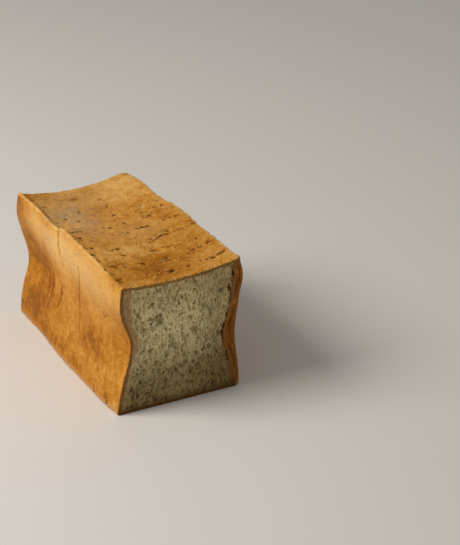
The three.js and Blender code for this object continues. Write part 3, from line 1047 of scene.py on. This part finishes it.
class TinLoafSettings(bpy.types.PropertyGroup):
    """Sizes and colours of the loaf."""

    pore_size: length_property("Pore Size", "Distance between the crumb's middling pores", PORE_SIZE)
    pore_depth: length_property("Pore Depth", "Depth of the crumb's deepest small pores", PORE_DEPTH)
    skin_height: length_property("Skin Height", "Height of the crust's unevenness", SKIN_HEIGHT)
    edge_wear: length_property("Edge Wear", "Unevenness of the crust's edges", EDGE_WEAR)
    lip_height: length_property("Lip Height", "Height of the lip along the top's left edge", LIP_HEIGHT)
    crumb_size: length_property("Crumb Size", "Radius of a middling loose crumb", CRUMB_SIZE)
    crumb_count: FloatProperty(
        name="Crumb Count", description="Per square metre, where crumbs lie thickest", default=CRUMB_COUNT
    )
    seed: IntProperty(name="Seed", description="Seed of the loose crumbs", default=SEED)
    pale_crust: colour_property("Pale Crust", "Crust that has baked least", (0.76, 0.44, 0.13))
    golden_crust: colour_property("Golden Crust", "Most of the crust", (0.60, 0.27, 0.040))
    orange_crust: colour_property("Orange Crust", "Crust that has baked more", (0.44, 0.165, 0.012))
    brown_crust: colour_property("Brown Crust", "Crust that has baked most", (0.27, 0.09, 0.007))
    # Painted shade for the creases, pits and the gaps beside the cut.
    burnt_crust: colour_property("Burnt Crust", "The bottom of creases and pits", (0.075, 0.027, 0.007))
    dusty_crust: colour_property("Dusty Crust", "Crust with flour or dry dough on it", (0.62, 0.47, 0.28))
    cut_crust: colour_property("Cut Crust", "The crust's edge on the cut face", (0.25, 0.105, 0.022))
    crumb: colour_property("Crumb", "Most of the crumb", (0.72, 0.54, 0.235))
    bright_crumb: colour_property("Bright Crumb", "The crumb's palest cell walls", (0.97, 0.82, 0.48))
    shaded_crumb: colour_property("Shaded Crumb", "The crumb's darker cells", (0.25, 0.185, 0.085))
    # Painted shade that darkens the crumb towards its base.
    moist_crumb: colour_property("Moist Crumb", "What dims the crumb towards the base", (0.40, 0.35, 0.265))
    dim_crumb: colour_property("Dim Crumb", "What dims the crumb at its top and right", (0.72, 0.63, 0.5))
    dense_crumb: colour_property("Dense Crumb", "The dense layer beside the crust", (0.40, 0.215, 0.085))
    pore_shade: colour_property("Pore Shade", "The inside of a pore", (0.16, 0.11, 0.04))


class TinLoafStageSettings(bpy.types.PropertyGroup):
    """Floor, light and view."""

    floor_colour: colour_property("Floor", "The floor's colour", (0.78, 0.76, 0.73))
    floor_shade: colour_property("Floor Shade", "The floor's faint darker patches", (0.6, 0.58, 0.55))
    key_power: FloatProperty(
        name="Key Power", description="Of the soft light on the left", subtype="POWER", default=26.8
    )
    fill_strength: FloatProperty(
        name="Fill", description="Strength of the light from all round", subtype="FACTOR", default=0.27
    )
    view_azimuth: FloatProperty(
        name="View Azimuth", description="Where the camera stands", subtype="ANGLE", default=math.radians(-30)
    )
    view_elevation: FloatProperty(
        name="View Elevation", description="How far above", subtype="ANGLE", default=math.radians(26)
    )
    view_roll: FloatProperty(name="View Roll", description="Tilt", subtype="ANGLE", default=math.radians(1.5))
    view_distance: length_property("View Distance", "From the camera to what it looks at", 1.681)
    lens: FloatProperty(name="Lens", description="Focal length in millimetres", default=118.9)


# == Operators ==


class LoafOperator(bpy.types.Operator):
    """Bakes the loaf: crust, creases, pits and crumb, in one closed mesh."""

    bl_idname = "tin_loaf.loaf"
    bl_label = "Loaf"

    def execute(self, context):
        settings = context.scene.tin_loaf
        loaf = link("tin_loaf", shape_loaf(loaf_mesh(), settings))
        apply_tree(loaf, relief_tree(crust_material(settings), crumb_material(settings)), settings)
        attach(loaf, "root")
        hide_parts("loaf")
        return {"FINISHED"}


class CrumbsOperator(bpy.types.Operator):
    """Scatters the loose crumbs that cling to the loaf. The loaf is made first."""

    bl_idname = "tin_loaf.crumbs"
    bl_label = "Crumbs"

    def execute(self, context):
        settings = context.scene.tin_loaf
        crumbs = link("loose_crumbs", bpy.data.objects["tin_loaf"].data.copy())
        apply_tree(crumbs, crumbs_tree(loose_crumb_material(settings)), settings)
        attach(crumbs, "root")
        return {"FINISHED"}


class StageOperator(bpy.types.Operator):
    """Sets the floor, the soft light and the camera."""

    bl_idname = "tin_loaf.stage"
    bl_label = "Stage"

    def execute(self, context):
        settings = context.scene.tin_loaf_stage
        self.floor(settings)
        self.light(settings)
        self.camera(context.scene, settings)
        return {"FINISHED"}

    def floor(self, settings):
        """A wide, pale floor at the loaf's base."""
        mesh = bpy.data.meshes.new("floor")
        corners = [(x * FLOOR_REACH, y * FLOOR_REACH, 0) for x, y in ((-1, -1), (1, -1), (1, 1), (-1, 1))]
        mesh.from_pydata(corners, [], [(0, 1, 2, 3)])
        mesh.materials.append(floor_material(settings))
        link("floor", mesh)

    def light(self, settings):
        """A large soft light high on the left, and even light from all round."""
        data = bpy.data.lights.new("key_light", "AREA")
        data.size, data.energy, data.color = KEY_SIZE, settings.key_power, KEY_COLOUR
        facing = (Vector((0, 0, LOAF_HIGH.z / 2)) - KEY_PLACE).to_track_quat("-Z", "Y")
        link("key_light", data).matrix_world = Matrix.Translation(KEY_PLACE) @ facing.to_matrix().to_4x4()
        world = bpy.data.worlds.new("studio")
        world.use_nodes = True
        background = world.node_tree.nodes["Background"]
        background.inputs["Color"].default_value = FILL_COLOUR
        background.inputs["Strength"].default_value = settings.fill_strength
        bpy.context.scene.world = world
        bpy.context.scene.view_settings.view_transform = "Standard"

    def camera(self, scene, settings):
        """A camera a little above the loaf, to the left of the cut face."""
        data = bpy.data.cameras.new("camera")
        data.lens, data.sensor_width = settings.lens, 36.0
        turn, up = settings.view_azimuth, settings.view_elevation
        back = Vector((math.sin(turn) * math.cos(up), -math.cos(turn) * math.cos(up), math.sin(up)))
        level = Vector((math.cos(turn), math.sin(turn), 0))
        upright = back.cross(level)
        roll = settings.view_roll
        right = math.cos(roll) * level + math.sin(roll) * upright
        above = math.cos(roll) * upright - math.sin(roll) * level
        turned = Matrix((right, above, back)).transposed().to_4x4()
        camera = link("camera", data)
        camera.matrix_world = Matrix.Translation(LOOKED_AT + back * settings.view_distance) @ turned
        scene.camera = camera


class TinLoafPanel(bpy.types.Panel):
    """Lists what the add-on makes."""

    bl_idname = "VIEW3D_PT_tin_loaf"
    bl_label = "Tin Loaf"
    bl_space_type = "VIEW_3D"
    bl_region_type = "UI"
    bl_category = "Tin Loaf"

    def draw(self, context):
        for operator in (StageOperator, LoafOperator, CrumbsOperator):
            self.layout.operator(operator.bl_idname)
        for group in (context.scene.tin_loaf, context.scene.tin_loaf_stage):
            for name in group.bl_rna.properties.keys():
                if name not in ("rna_type", "name"):
                    self.layout.prop(group, name)


CLASSES = (
    TinLoafSettings, TinLoafStageSettings, LoafOperator, CrumbsOperator, StageOperator, TinLoafPanel,
)


def register():
    for made in CLASSES:
        bpy.utils.register_class(made)
    bpy.types.Scene.tin_loaf = PointerProperty(type=TinLoafSettings)
    bpy.types.Scene.tin_loaf_stage = PointerProperty(type=TinLoafStageSettings)


def unregister():
    del bpy.types.Scene.tin_loaf_stage
    del bpy.types.Scene.tin_loaf
    for made in reversed(CLASSES):
        bpy.utils.unregister_class(made)


def main():
    """Registers the add-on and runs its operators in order."""
    register()
    bpy.ops.tin_loaf.stage()
    bpy.ops.tin_loaf.loaf()
    bpy.ops.tin_loaf.crumbs()


if __name__ == "__main__":
    main()
